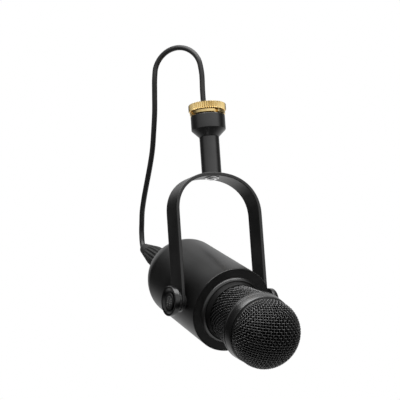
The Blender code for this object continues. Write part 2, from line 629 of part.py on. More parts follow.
def plug_grip(front):
    """Fluted grip: a ring of alternating radii drawn along the axis, drawn in from its shoulder on."""
    mesh = bpy.data.meshes.new("plug_grip")
    shape = bmesh.new()
    count = 2 * GRIP_FLUTES
    rear = front - GRIP_LENGTH
    shoulder = rear + GRIP_SHOULDER_LENGTH
    rings = []
    sections = ((front, GRIP_FLUTE_DEPTH, GRIP_RADIUS), (shoulder, GRIP_FLUTE_DEPTH, GRIP_SHOULDER_RADIUS),
                (rear, 0.0, BOOT_RADIUS))
    for along, depth, radius in sections:
        ring = []
        for i in range(count):
            angle = 2 * pi * i / count
            reach = radius - depth * (i % 2)
            ring.append(shape.verts.new((reach * cos(angle), reach * sin(angle), along)))
        rings.append(ring)
    for upper, lower in zip(rings, rings[1:]):
        for i in range(count):
            j = (i + 1) % count
            shape.faces.new((upper[i], lower[i], lower[j], upper[j]))
    shape.faces.new(rings[0])
    shape.faces.new(rings[-1][::-1])
    shape.to_mesh(mesh)
    shape.free()
    place(bpy.data.objects.new("plug_grip", mesh), BLACK_PLASTIC, parent=mic_axis)
    return rear


# Directions of the stowed lead: straight away behind the stem, and across
STOW = Vector((sin(STOW_BEARING), cos(STOW_BEARING), 0.0))
ACROSS = Vector((cos(STOW_BEARING), -sin(STOW_BEARING), 0.0))
UP = Vector((0.0, 0.0, 1.0))


def stow_point(behind, across, height):
    return STOW * behind + ACROSS * across + UP * height


def smooth_route(points, spacing):
    """Evenly spaced points on a smooth curve through the route's own points, straight at both ends."""
    route = np.array([tuple(p) for p in points])
    knots = np.concatenate([[0.0], np.cumsum(np.linalg.norm(np.diff(route, axis=0), axis=1))])
    slopes = np.gradient(route, knots, axis=0)
    fine = []
    for i in range(len(route) - 1):
        reach = knots[i + 1] - knots[i]
        for t in np.linspace(0.0, 1.0, 16, endpoint=False):
            ease = t * t * (3 - 2 * t)
            bend = t * (1 - t) * ((1 - t) * slopes[i] - t * slopes[i + 1]) * reach
            fine.append(route[i] * (1 - ease) + route[i + 1] * ease + bend)
    fine.append(route[-1])
    fine = np.array(fine)
    lengths = np.concatenate([[0.0], np.cumsum(np.linalg.norm(np.diff(fine, axis=0), axis=1))])
    count = max(2, round(lengths[-1] / spacing))
    stops = np.linspace(0.0, lengths[-1], count + 1)
    return [Vector([np.interp(s, lengths, fine[:, axis]) for axis in range(3)]) for s in stops]


def cable_tube(name, points, sides, surface):
    curve = bpy.data.curves.new(name, "CURVE")
    curve.dimensions = "3D"
    curve.bevel_depth = CABLE_DIAMETER / 2
    curve.bevel_resolution = sides
    curve.use_fill_caps = True
    spline = curve.splines.new("POLY")
    spline.points.add(len(points) - 1)
    for point, where in zip(spline.points, points):
        point.co = (*where, 1.0)
    place(bpy.data.objects.new(name, curve), surface)


def route_length(points):
    return sum((b - a).length for a, b in zip(points, points[1:]))


def coil_points():
    """A flat coil of two layers: the turns run in, climb over half a turn and run out again."""
    centre = COIL_NEAR_SIDE + COIL_START_RADIUS
    climb_middle = 2 * pi * COIL_TURNS_IN
    points = []
    count = round(COIL_TURNS * COIL_POINTS_PER_TURN)
    for i in range(count + 1):
        angle = 2 * pi * i / COIL_POINTS_PER_TURN
        inwards = COIL_TURNS_IN - abs(angle / (2 * pi) - COIL_TURNS_IN)
        radius = COIL_START_RADIUS - COIL_PITCH * inwards
        share = min(max((angle - climb_middle) / pi + 0.5, 0.0), 1.0)
        layer = COIL_PITCH * (share * share * (3 - 2 * share) - 0.5)
        points.append(stow_point(centre - radius * cos(angle), layer, COIL_HEIGHT - radius * sin(angle)))
    straight = CABLE_DIAMETER
    first = points[0] + UP * straight
    last = points[-1] - STOW * straight
    return [first] + points + [last]


def least_gap(points):
    """Smallest clear distance between stretches of the tube that aren't neighbours."""
    fine = []
    for a, b in zip(points, points[1:]):
        fine += [a + (b - a) * (i / 4) for i in range(4)]
    table = np.array([tuple(p) for p in fine])
    along = np.concatenate([[0.0], np.cumsum(np.linalg.norm(np.diff(table, axis=0), axis=1))])
    apart = np.linalg.norm(table[:, None] - table[None], axis=2)
    apart[np.abs(along[:, None] - along[None]) < pi * CABLE_DIAMETER] = 1.0
    return apart.min() - CABLE_DIAMETER


def lead(boot_rear):
    back = Vector((0.0, cos(TILT_AT_REST), sin(TILT_AT_REST)))
    start = PIVOT + back * (CLEARANCE - boot_rear)
    across = -COIL_PITCH / 2
    coil = coil_points()
    end = coil[0] + UP * CLEARANCE
    rise = [(0.0006, 0.0926, -0.0672), (0.0009, 0.0933, -0.0624), (0.0007, 0.0926, -0.0588),
            (0.0001, 0.0906, -0.0554), (-0.0019, 0.0855, -0.0489), (-0.0034, 0.0795, -0.0418),
            (-0.0042, 0.0729, -0.0328), (-0.0045, 0.0672, -0.0238), (-0.0048, 0.0622, -0.0147),
            (-0.0058, 0.0569, -0.0032), (-0.0066, 0.0526, 0.0085), (-0.0075, 0.0496, 0.0193),
            (-0.0081, 0.0471, 0.0288)]
    top = Vector(rise[-1])
    foot = stow_point(COIL_NEAR_SIDE, across, CABLE_ARCH_FOOT)
    arch = []
    for i in range(1, CABLE_ARCH_POINTS + 1):
        angle = pi * i / CABLE_ARCH_POINTS
        arch.append(top.lerp(foot, (1 - cos(angle)) / 2) + UP * CABLE_ARCH_RISE * sin(angle))
    drop = [stow_point(COIL_NEAR_SIDE, across, CABLE_ARCH_FOOT / 2), stow_point(COIL_NEAR_SIDE, across, 0.0)]
    first = start + back * CABLE_STRAIGHT
    last = end + UP * CABLE_STRAIGHT
    free = [start] + smooth_route([first] + rise + arch + drop + [last], CABLE_POINT_SPACING) + [end]
    cable_tube("cable", free, 2, RUBBER)
    cable_tube("cable_coil", coil, 1, RUBBER)
    tail_start = coil[-1] - STOW * CLEARANCE
    over = COIL_PITCH / 2
    height = tail_start.z
    tail_end = stow_point(JACK_DISTANCE, 0.0, JACK_TOP + CLEARANCE)
    turn = [tail_start - STOW * CABLE_STRAIGHT, stow_point(0.0270, over, height + 0.0012),
            stow_point(0.0215, over, height + 0.0002), stow_point(0.0174, 0.0010, height - 0.0030),
            tail_end + UP * CABLE_STRAIGHT]
    tail = [tail_start] + smooth_route(turn, CABLE_POINT_SPACING) + [tail_end]
    cable_tube("cable_tail", tail, 2, RUBBER)
    print("coil least gap to itself, mm:", round(least_gap(coil) * 1000, 2))
    print("lead length, mm:", round(1000 * (route_length(free) + route_length(coil) + route_length(tail))))


def jack():
    where = {"parent": stow_axis, "location": (0.0, JACK_DISTANCE, 0.0)}
    boot_low = JACK_TOP - JACK_BOOT_LENGTH
    shell_top = boot_low - CLEARANCE
    shell_low = shell_top - JACK_SHELL_LENGTH
    pin_top = shell_low - CLEARANCE
    pin_low = pin_top - JACK_PIN_LENGTH
    boot = [(0.0, JACK_TOP), (JACK_BOOT_TIP_RADIUS, JACK_TOP), (JACK_SHELL_RADIUS - CLEARANCE, boot_low),
            (0.0, boot_low)]
    turned("jack_boot", boot, RUBBER, STEPS_SMALL, **where)
    rod("jack_shell", JACK_SHELL_RADIUS, shell_top, shell_low, BLACK_PLASTIC, STEPS_SMALL, **where)
    nose = pin_low + JACK_PIN_RADIUS
    pin = [(0.0, pin_top), (JACK_PIN_RADIUS, pin_top), (JACK_PIN_RADIUS, nose),
           (JACK_PIN_RADIUS / 2, pin_low), (0.0, pin_low)]
    turned("jack_contact", pin, GOLD_FILM, STEPS_SMALL, **where)


def tie_base():
    """Stick-on base behind the stem: hollowed to the tube, with a tunnel for the strap."""
    top = SHOULDER_BOTTOM - CLEARANCE
    middle = top - TIE_BASE_HEIGHT / 2
    outer = TIE_NEAR + CLEARANCE + TIE_BASE_BRIDGE
    size = (2 * TIE_BASE_HALF_WIDTH, outer, TIE_BASE_HEIGHT)
    item = block("tie_base", size, (0.0, outer / 2, middle), BLACK_PLASTIC, parent=stow_axis)
    drill(item, "tie base seat", TUBE_RADIUS + CLEARANCE, 2 * TIE_BASE_HEIGHT, (0.0, 0.0, middle), "Z",
          parent=stow_axis, segments=STEPS_MEDIUM)
    tunnel = (4 * TIE_BASE_HALF_WIDTH, TIE_THICKNESS + 2 * CLEARANCE, TIE_WIDTH + 2 * CLEARANCE)
    notch(item, "tie base tunnel", tunnel, (0.0, TIE_NEAR - TIE_THICKNESS / 2, middle), parent=stow_axis)
    return middle


def cable_tie(middle):
    """Strap through the base and round the jack plug and the near side of the coil."""
    half = JACK_SHELL_RADIUS + CLEARANCE
    corner = TIE_CORNER_RADIUS
    loop = []
    bends = ((corner - half, TIE_NEAR + corner, corner, pi, 3 * pi / 2),
             (half - corner, TIE_NEAR + corner, corner, 3 * pi / 2, 2 * pi),
             (0.0, TIE_END_DISTANCE, half, 0.0, pi))
    for across, behind, radius, first, last in bends:
        for i in range(TIE_ARC_STEPS + 1):
            angle = first + (last - first) * i / TIE_ARC_STEPS
            loop.append((across + radius * cos(angle), behind + radius * sin(angle)))
    mesh = bpy.data.meshes.new("cable_tie")
    shape = bmesh.new()
    high = [shape.verts.new((across, behind, middle + TIE_WIDTH / 2)) for across, behind in loop]
    low = [shape.verts.new((across, behind, middle - TIE_WIDTH / 2)) for across, behind in loop]
    for i in range(len(loop)):
        j = (i + 1) % len(loop)
        shape.faces.new((low[i], low[j], high[j], high[i]))
    shape.to_mesh(mesh)
    shape.free()
    item = place(bpy.data.objects.new("cable_tie", mesh), BLACK_PLASTIC, parent=stow_axis)
    wall = item.modifiers.new("strap", "SOLIDIFY")
    wall.thickness = TIE_THICKNESS
    wall.offset = 1.0
    wall.use_even_offset = True


thread_adapter()
lock_ring()
stem()
yoke()
yoke_screw()
pivot_set(-1, "left")
pivot_set(1, "right")
barrel()
bezel()
sleeve()
band()
ball()
capsule()
electronics()
tail_of_boot = socket()
lead(tail_of_boot)
jack()
cable_tie(tie_base())
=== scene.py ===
"""Looks of the studio condenser microphone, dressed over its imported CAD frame.

Metres, +Z up. The origin is on the stem's axis at the top of the brass adapter, the tilt axis runs
along X, and the grille looks towards -Y and down.
"""
from math import atan2, cos, hypot, pi, radians, sin, sqrt

import bmesh
import bpy
import numpy as np
from mathutils import Matrix, Vector


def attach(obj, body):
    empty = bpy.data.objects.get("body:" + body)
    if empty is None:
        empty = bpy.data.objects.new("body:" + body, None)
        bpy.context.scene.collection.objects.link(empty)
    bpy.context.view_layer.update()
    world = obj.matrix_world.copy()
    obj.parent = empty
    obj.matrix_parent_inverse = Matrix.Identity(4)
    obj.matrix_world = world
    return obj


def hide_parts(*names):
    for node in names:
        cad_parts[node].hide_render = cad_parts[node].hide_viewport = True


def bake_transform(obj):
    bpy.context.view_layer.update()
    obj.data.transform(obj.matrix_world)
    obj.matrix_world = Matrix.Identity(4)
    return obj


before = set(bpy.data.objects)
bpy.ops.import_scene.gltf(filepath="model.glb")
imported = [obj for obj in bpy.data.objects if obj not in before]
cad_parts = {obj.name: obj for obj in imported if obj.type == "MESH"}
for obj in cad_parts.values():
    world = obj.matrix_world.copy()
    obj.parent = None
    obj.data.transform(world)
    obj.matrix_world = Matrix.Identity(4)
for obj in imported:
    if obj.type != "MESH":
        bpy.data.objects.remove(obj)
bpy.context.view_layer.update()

# Camera: a long lens to the left of the microphone and a little below it, looking up at the grille
# and turned slightly about its own axis, so that the stem leans in the picture.
CAMERA_SPOT = Vector((-0.6272, -1.0525, -0.3008))
look = Vector((0.4966, 0.8459, 0.1945)).normalized()
level = Vector((0.8671, -0.4936, -0.0671)).normalized()
camera_data = bpy.data.cameras.new("camera")
camera_data.sensor_width = 36.0
camera_data.lens = 189.0
camera_data.clip_start = 0.05
camera_data.clip_end = 50.0
camera = bpy.data.objects.new("camera", camera_data)
aim = Matrix((level, level.cross(look), -look)).transposed().to_4x4()
camera.matrix_world = Matrix.Translation(CAMERA_SPOT) @ aim
bpy.context.scene.collection.objects.link(camera)
bpy.context.scene.camera = camera
bpy.context.scene.view_settings.view_transform = "Standard"


# Studio: a pale floor well under the microphone that fades to white at its edge, a white backdrop that
# falls off to the left, a panel above and behind, a broad screen in front, and one soft lamp overhead.
class Socket:
    """An output in a finish that takes Python arithmetic: every operator adds a Math node."""

    def __init__(self, finish, output):
        self.finish = finish
        self.output = output

    def math(self, operation, *operands):
        return self.finish.add("ShaderNodeMath", {"operation": operation}, dict(enumerate(operands)))

    def __add__(self, other):
        return self.math("ADD", self, other)

    def __rsub__(self, other):
        return self.math("SUBTRACT", other, self)

    def __mul__(self, other):
        return self.math("MULTIPLY", self, other)

    def __pow__(self, other):
        return self.math("POWER", self, other)

    __radd__ = __add__
    __rmul__ = __mul__

    def sine(self):
        return self.math("SINE", self)

    def at_least(self, other):
        return self.math("MAXIMUM", self, other)

    def above(self, low, high):
        """0 under low, 1 over high, and a soft step in between."""
        return self.finish.add("ShaderNodeMapRange", {"interpolation_type": "SMOOTHSTEP"},
                               {"Value": self, "From Min": low, "From Max": high})


class Nodes:
    """A node tree in the making."""

    def __init__(self, tree):
        self.tree = tree

    def add(self, kind, settings=None, inputs=None, output=0):
        """A node with its settings, then the values or links of its sockets; gives one of its outputs."""
        node = self.tree.nodes.new(kind)
        for key, value in (settings or {}).items():
            setattr(node, key, value)
        for key, value in (inputs or {}).items():
            self.feed(node.inputs[key], value)
        return Socket(self, node.outputs[output])

    def feed(self, slot, value):
        if isinstance(value, Socket):
            self.tree.links.new(value.output, slot)
        else:
            slot.default_value = value

    def mix(self, first, second, share):
        """A colour between two others."""
        return self.add("ShaderNodeMix", {"data_type": "RGBA"}, {0: share, 6: first, 7: second}, 2)


class Finish(Nodes):
    """One surface: its material, its Principled shader and the nodes that feed it."""

    def __init__(self, name):
        self.material = bpy.data.materials.new(name)
        self.material.use_nodes = True
        super().__init__(self.material.node_tree)
        self.shader = self.tree.nodes["Principled BSDF"]
        self.place = self.add("ShaderNodeTexCoord", output="Object")

    def noise(self, size, detail=2.0, stretch=None):
        """Even noise with features of about that size in metres, stretched along X, Y or Z if asked."""
        place = self.place
        if stretch:
            place = self.add("ShaderNodeMapping", {"vector_type": "POINT"},
                             {"Vector": place, "Scale": stretch})
        return self.add("ShaderNodeTexNoise", {},
                        {"Vector": place, "Scale": 1.0 / size, "Detail": detail}, "Fac")

    def cells(self, size):
        """Round cells of about that size in metres: how far each spot is from a cell's middle."""
        return self.add("ShaderNodeTexVoronoi", {}, {"Vector": self.place, "Scale": 1.0 / size}, "Distance")

    def along(self, axis):
        """A coordinate of the surface, 0 to 2 for X to Z."""
        return self.add("ShaderNodeSeparateXYZ", {}, {"Vector": self.place}, axis)

    def bump(self, height, depth, strength):
        return self.add("ShaderNodeBump", {},
                        {"Height": height, "Distance": depth, "Strength": strength}, "Normal")

    def surface(self, inputs):
        for key, value in inputs.items():
            self.feed(self.shader.inputs[key], value)
        return self.material


def tone(value):
    """A neutral colour of that linear value."""
    return (value, value, value, 1.0)


FLOOR_Z = -0.95
FLOOR_RADIUS = 0.45
FADE_START = 0.2 * FLOOR_RADIUS
FADE_END = 0.95 * FLOOR_RADIUS
MIDDLE_WHITE = 0.6
floor_mesh = bpy.data.meshes.new("floor")
floor_shape = bmesh.new()
bmesh.ops.create_circle(floor_shape, cap_ends=True, segments=96, radius=FLOOR_RADIUS,
                        matrix=Matrix.Translation((0.0, 0.0, FLOOR_Z)))
floor_shape.to_mesh(floor_mesh)
floor_shape.free()
floor = bpy.data.objects.new("floor", floor_mesh)
bpy.context.scene.collection.objects.link(floor)
paper = Finish("floor_paper")
floor_mesh.materials.append(paper.surface({"Base Color": tone(0.8), "Roughness": 0.9}))
from_middle = (paper.along(0) ** 2.0 + paper.along(1) ** 2.0) ** 0.5
whiteness = MIDDLE_WHITE + (1.0 - MIDDLE_WHITE) * from_middle.above(FADE_START, FADE_END)
lit = paper.add("ShaderNodeEmission", {}, {"Color": tone(1.0), "Strength": 1.0})
seen_directly = paper.add("ShaderNodeLightPath", output="Is Camera Ray")
shaded = Socket(paper, paper.shader.outputs["BSDF"])
faded = paper.add("ShaderNodeMixShader", {}, {0: seen_directly * whiteness, 1: shaded, 2: lit})
paper.feed(paper.tree.nodes["Material Output"].inputs["Surface"], faded)

world = bpy.data.worlds.new("studio")
bpy.context.scene.world = world
world.use_nodes = True
sky = Nodes(world.node_tree)
direction = sky.add("ShaderNodeTexCoord", output="Generated")


def facing(x, y, z):
    """How far a ray of the studio runs along that direction, 1 for straight along it."""
    return sky.add("ShaderNodeVectorMath", {"operation": "DOT_PRODUCT"},
                   {0: direction, 1: (x, y, z)}, "Value")


upward = facing(0.0, 0.0, 1.0)
backdrop = facing(0.50, 0.65, -0.58).above(0.22, 1.05)
panel = facing(0.22, 0.54, 0.81).above(0.68, 0.98)
screen_side = facing(-0.50, -0.86, 0.10).above(0.05, 0.45)
screen = screen_side * upward.above(-0.50, 0.0) * (1.0 - upward.above(0.50, 0.75))
screen_light = 0.70 + 0.30 * facing(0.86, -0.50, 0.0)
room = 0.03 + 0.75 * panel + screen_light * screen
seen = sky.add("ShaderNodeLightPath", output="Is Camera Ray")
through = sky.add("ShaderNodeLightPath", output="Is Transmission Ray")
mirrored = sky.add("ShaderNodeLightPath", output="Is Glossy Ray")
glow = seen.at_least(through).at_least(room + 0.97 * backdrop * mirrored)
background = world.node_tree.nodes["Background"]
sky.feed(background.inputs["Color"], tone(1.0))
sky.feed(background.inputs["Strength"], glow)

LAMP_SPOT = Vector((-0.05, -0.28, 0.85))
MIC_CENTRE = Vector((0.0, 0.0, -0.10))
lamp_data = bpy.data.lights.new("overhead", "AREA")
lamp_data.shape = "RECTANGLE"
lamp_data.size = 1.60
lamp_data.size_y = 0.90
lamp_data.energy = 20.0
lamp = bpy.data.objects.new("overhead", lamp_data)
lamp.location = LAMP_SPOT
lamp.rotation_euler = (MIC_CENTRE - LAMP_SPOT).to_track_quat("-Z", "Y").to_euler()
bpy.context.scene.collection.objects.link(lamp)


# Thread adapter: a turned brass sleeve that takes the stand's thread. Its flange has slots for a coin
# or a key, and its lower half is screwed into the stem's collar.
MERGE_DISTANCE = 1e-7


def turned(profile, place=None, steps=96, ring=False):
    """A shape turned about Z from (radius, height) points, then put in its place."""
    shape = bmesh.new()
    corners = [shape.verts.new((radius, 0.0, height)) for radius, height in profile]
    for first, second in zip(corners, corners[1:]):
        shape.edges.new((first, second))
    if ring:
        shape.edges.new((corners[-1], corners[0]))
    bmesh.ops.spin(shape, geom=shape.verts[:] + shape.edges[:], cent=(0.0, 0.0, 0.0),
                   axis=(0.0, 0.0, 1.0), angle=2 * pi, steps=steps, use_merge=True)
    bmesh.ops.remove_doubles(shape, verts=shape.verts, dist=MERGE_DISTANCE)
    bmesh.ops.recalc_face_normals(shape, faces=shape.faces)
    if place:
        bmesh.ops.transform(shape, matrix=place, verts=shape.verts)
    return shape


def soften(item, edge, segments=2):
    """Rounds off the sharp edges of an object."""
    round_off = item.modifiers.new("edges", "BEVEL")
    round_off.width = edge
    round_off.segments = segments
    round_off.limit_method = "ANGLE"
    round_off.angle_limit = radians(28)
    round_off.harden_normals = True


def piece(name, shape, material, body, stands_for=(), edge=0.0, crease=40):
    """The finished object of a shape: smooth up to the crease angle, and riding on its body."""
    mesh = bpy.data.meshes.new(name)
    shape.to_mesh(mesh)
    shape.free()
    mesh.shade_smooth()
    mesh.set_sharp_from_angle(angle=radians(crease))
    mesh.materials.append(material)
    item = bpy.data.objects.new(name, mesh)
    bpy.context.scene.collection.objects.link(item)
    if edge:
        soften(item, edge)
    if body:
        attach(item, body)
    if stands_for:
        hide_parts(*stands_for)
    return item


def brass_finish(name):
    """Turned brass: fine tool lines round the axis, patchy polish and a trace of tarnish."""
    line_pitch = 0.00016
    brass = Finish(name)
    lines = (brass.along(2) * (2 * pi / line_pitch)).sine()
    patch = brass.noise(0.0016, 3.0)
    colour = brass.mix((0.86, 0.62, 0.25, 1.0), (0.95, 0.74, 0.36, 1.0), patch.above(0.25, 0.7))
    return brass.surface({"Base Color": colour, "Metallic": 1.0, "Roughness": 0.24 + 0.12 * patch,
                          "Normal": brass.bump(lines * 0.4 + patch, 0.000012, 0.3)})


BORE_RADIUS = 0.0045
NECK_RADIUS = 0.0079
ADAPTER_LOW = -0.0149
FLANGE_TOP = -0.0048
FLANGE_LOW = -0.0064
FLANGE_RADIUS = 0.0106
SLOT_WIDTH = 0.0016
SLOT_DEPTH = 0.0017
adapter_profile = [(BORE_RADIUS, 0.0), (NECK_RADIUS, 0.0), (NECK_RADIUS, FLANGE_TOP),
                   (FLANGE_RADIUS, FLANGE_TOP), (FLANGE_RADIUS, FLANGE_LOW), (NECK_RADIUS, FLANGE_LOW),
                   (NECK_RADIUS, ADAPTER_LOW), (BORE_RADIUS, ADAPTER_LOW)]
adapter_shape = turned(adapter_profile, steps=180, ring=True)
for vert in adapter_shape.verts:
    for across, out in ((0, 1), (1, 0)):
        if abs(vert.co[across]) < SLOT_WIDTH / 2 and abs(vert.co[out]) > FLANGE_RADIUS - SLOT_DEPTH:
            vert.co[out] *= 1 - SLOT_DEPTH / FLANGE_RADIUS
turned_brass = brass_finish("turned_brass")
piece("adapter", adapter_shape, turned_brass, "adapter", ["thread_adapter"], edge=0.00015)


# Lock ring: a brass ring nut, turned and then rolled with a fine straight knurl. It runs on the
# adapter's neck just above the flange.
def fluted(count, points, rings, place=None, ring=False):
    """A shape drawn through (radius, height, flute depth) rings, with so many points to a flute."""
    shape = bmesh.new()
    bmesh.ops.create_circle(shape, segments=count * points, radius=1.0)
    loop = shape.edges[:]
    for number, (radius, height, depth) in enumerate(rings):
        if number:
            grown = bmesh.ops.extrude_edge_only(shape, edges=loop)["geom"]
            loop = [part for part in grown if isinstance(part, bmesh.types.BMEdge)]
        for vert in {vert for edge in loop for vert in edge.verts}:
            angle = atan2(vert.co.y, vert.co.x)
            reach = radius - depth * (0.5 - 0.5 * cos(count * angle))
            vert.co = (reach * cos(angle), reach * sin(angle), height)
    if ring:
        bmesh.ops.remove_doubles(shape, verts=shape.verts, dist=MERGE_DISTANCE)
    else:
        bmesh.ops.holes_fill(shape, edges=[edge for edge in shape.edges if edge.is_boundary])
    bmesh.ops.recalc_face_normals(shape, faces=shape.faces)
    if place:
        bmesh.ops.transform(shape, matrix=place, verts=shape.verts)
    return shape


KNURLS = 54
KNURL_POINTS = 4
KNURL_DEPTH = 0.0006
NUT_RADIUS = 0.01125
NUT_BORE = 0.0082
NUT_LOW = -0.0044
nut_rings = [(NUT_BORE, 0.0, 0.0), (0.0106, 0.0, 0.0), (0.0110, -0.0002, 0.0),
             (NUT_RADIUS, -0.0005, KNURL_DEPTH), (NUT_RADIUS, -0.0039, KNURL_DEPTH),
             (0.0110, -0.0042, 0.0), (0.0106, NUT_LOW, 0.0), (NUT_BORE, NUT_LOW, 0.0), (NUT_BORE, 0.0, 0.0)]
nut_shape = fluted(KNURLS, KNURL_POINTS, nut_rings, ring=True)
piece("ring_nut", nut_shape, brass_finish("knurled_brass"), "lock_ring", ["lock_ring"])


# Stem: a steel tube with a wider collar and a conical shoulder, turned from one bar and sprayed satin
# black. The adapter is screwed into the collar, and the yoke's screw into the foot.
def black_coat(name, value, roughness, grain=0.00035, depth=0.000012, gloss=0.28):
    """A sprayed black coat: fine even grain, slow drift of tone, and sheen that follows both."""
    coat = Finish(name)
    speck = coat.noise(grain, 3.0)
    drift = coat.noise(0.012)
    colour = coat.mix(tone(value * 0.75), tone(value * 1.3), drift.above(0.3, 0.7))
    return coat.surface({"Base Color": colour, "Roughness": roughness - 0.06 + 0.12 * speck + 0.05 * drift,
                         "Specular IOR Level": gloss, "Normal": coat.bump(speck, depth, 0.6)})


COLLAR_TOP = -0.0067
COLLAR_RADIUS = 0.0103
COLLAR_FLOOR = -0.0153
TUBE_RADIUS = 0.0059
STEM_LOW = -0.0436
stem_profile = [(0.0, COLLAR_FLOOR), (0.0082, COLLAR_FLOOR), (0.0082, COLLAR_TOP), (0.0099, COLLAR_TOP),
                (COLLAR_RADIUS, COLLAR_TOP - 0.0006), (COLLAR_RADIUS, -0.0155), (0.0102, -0.0158),
                (0.0064, -0.0196), (TUBE_RADIUS, -0.0203), (TUBE_RADIUS, STEM_LOW), (0.0, STEM_LOW)]
stem_paint = black_coat("stem_paint", 0.015, 0.28, gloss=0.90)
piece("stem_tube", turned(stem_profile), stem_paint, "yoke", ["stem"], edge=0.0002)


# Yoke: one flat steel strip with rounded ends, bent to an inverted U and painted like the stem. Its
# crown is screwed to the stem's foot, and its ends hold the microphone between two knobs.
STRIP_WIDTH = 0.0127
STRIP_THICKNESS = 0.0021
YOKE_OUTER = 0.0292
PIVOT = Vector((0.0, 0.0, -0.11985))
CROWN_Z = -0.0427
ARCH_RISE = 0.0247
ARCH_Z = CROWN_Z - ARCH_RISE
ARCH_FULLNESS = 0.897
ARCH_STEPS = 72
ARM = Vector((0.0, 0.0, ARCH_Z - PIVOT.z + STRIP_WIDTH / 2))


def pull(shape, edge, shift):
    """Draws a strip's end edge on by a straight run and returns the new end."""
    grown = bmesh.ops.extrude_edge_only(shape, edges=[edge])["geom"]
    ends = [part for part in grown if isinstance(part, bmesh.types.BMVert)]
    bmesh.ops.translate(shape, verts=ends, vec=shift)
    return next(part for part in grown if isinstance(part, bmesh.types.BMEdge)
                and set(part.verts) == set(ends))


def arch_point(turn):
    """The middle of the arch's outer face, from 0 at its left foot to pi at its right one.

    The arch is a little fuller than an ellipse.
    """
    across, up = abs(cos(turn)) ** ARCH_FULLNESS, abs(sin(turn)) ** ARCH_FULLNESS
    return Vector((YOKE_OUTER * (-across if turn < pi / 2 else across), 0.0, ARCH_Z + ARCH_RISE * up))


yoke_shape = bmesh.new()
left_foot = [yoke_shape.verts.new((-YOKE_OUTER, side * STRIP_WIDTH / 2, PIVOT.z - STRIP_WIDTH / 2))
             for side in (-1, 1)]
strip_end = pull(yoke_shape, yoke_shape.edges.new(left_foot), ARM)
for step in range(ARCH_STEPS):
    run = arch_point(pi * (step + 1) / ARCH_STEPS) - arch_point(pi * step / ARCH_STEPS)
    strip_end = pull(yoke_shape, strip_end, run)
strip_end = pull(yoke_shape, strip_end, -ARM)
bmesh.ops.bevel(yoke_shape, geom=left_foot + list(strip_end.verts), offset=STRIP_WIDTH / 2 - 0.0001,
                offset_type="OFFSET", segments=14, profile=0.5, affect="VERTICES", material=-1)
bmesh.ops.recalc_face_normals(yoke_shape, faces=yoke_shape.faces)
crown = max(yoke_shape.faces, key=lambda face: face.calc_center_median().z)
if crown.normal.z < 0:
    bmesh.ops.reverse_faces(yoke_shape, faces=yoke_shape.faces)
yoke_paint = black_coat("yoke_paint", 0.010, 0.32, gloss=0.60)
yoke_strip = piece("yoke_strip", yoke_shape, yoke_paint, "yoke", ["yoke_bracket"])
strip_wall = yoke_strip.modifiers.new("strip", "SOLIDIFY")
strip_wall.thickness = STRIP_THICKNESS
strip_wall.offset = -1.0
soften(yoke_strip, edge=0.00045, segments=3)


# Yoke screw: a low zinc-plated screw on a thin washer, up through the crown into the stem, with a
# round socket in its head.
def steel_finish(name, value, roughness=0.25):
    """Plated steel, bright or dark, with faint cloudy patches and fine scratches round it."""
    steel = Finish(name)
    cloud = steel.noise(0.0012, 3.0)
    scratch = steel.noise(0.0003, stretch=(1.0, 1.0, 8.0))
    colour = steel.mix(tone(value * 0.85), tone(value * 1.15), cloud)
    return steel.surface({"Base Color": colour, "Metallic": 1.0, "Roughness": roughness + 0.12 * scratch,
                          "Normal": steel.bump(scratch, 0.000004, 0.5)})


SCREW_RADIUS = 0.0020
SCREW_TIP = -0.0317
screw_profile = [(0.0, -0.0452), (0.0012, -0.0452), (0.0014, -0.0461), (0.0023, -0.0461), (0.0028, -0.0459),
                 (0.0031, -0.0455), (0.0031, -0.0450), (0.0034, -0.0450), (0.0036, -0.0454),
                 (0.0042, -0.0454), (0.0043, -0.0452), (0.0043, -0.0447), (SCREW_RADIUS, -0.0447),
                 (SCREW_RADIUS, SCREW_TIP), (0.0, SCREW_TIP)]
screw_shape = turned(screw_profile, steps=48)
zinc_steel = steel_finish("zinc_steel", 0.75)
piece("crown_screw", screw_shape, zinc_steel, "yoke", ["yoke_screw"], edge=0.0001)

# Barrel: an aluminium can, turned with a slight taper and a domed tail that leaves a round mouth for
# the socket, sprayed in a soft-touch black.
TILT = radians(28.67)
MIC = Matrix.Translation(PIVOT) @ Matrix.Rotation(pi / 2 + TILT, 4, "X")
MIC_STEPS = 144
FRONT = 0.0140
FRONT_RADIUS = 0.0255
REAR_RADIUS = 0.0242
DOME_START = -0.0454
DOME_LENGTH = 0.0274
DOME_POWER = 1.47
DOME_STEPS = 24
DOME_EASE = 1.6
MOUTH_RADIUS = 0.0082
MOUTH_Z = -0.0683
REBATE = 0.0030
WALL = 0.0020


def tail_outline(full_radius, length):
    """(radius, height) points of the domed tail, from the end of the can's side to its mouth."""
    deepest = (1.0 - (MOUTH_RADIUS / full_radius) ** DOME_POWER) ** (1 / DOME_POWER)
    shares = [deepest * (1.0 - (1.0 - step / DOME_STEPS) ** DOME_EASE) for step in range(1, DOME_STEPS + 1)]
    return [(full_radius * (1.0 - share ** DOME_POWER) ** (1 / DOME_POWER), DOME_START - share * length)
            for share in shares]


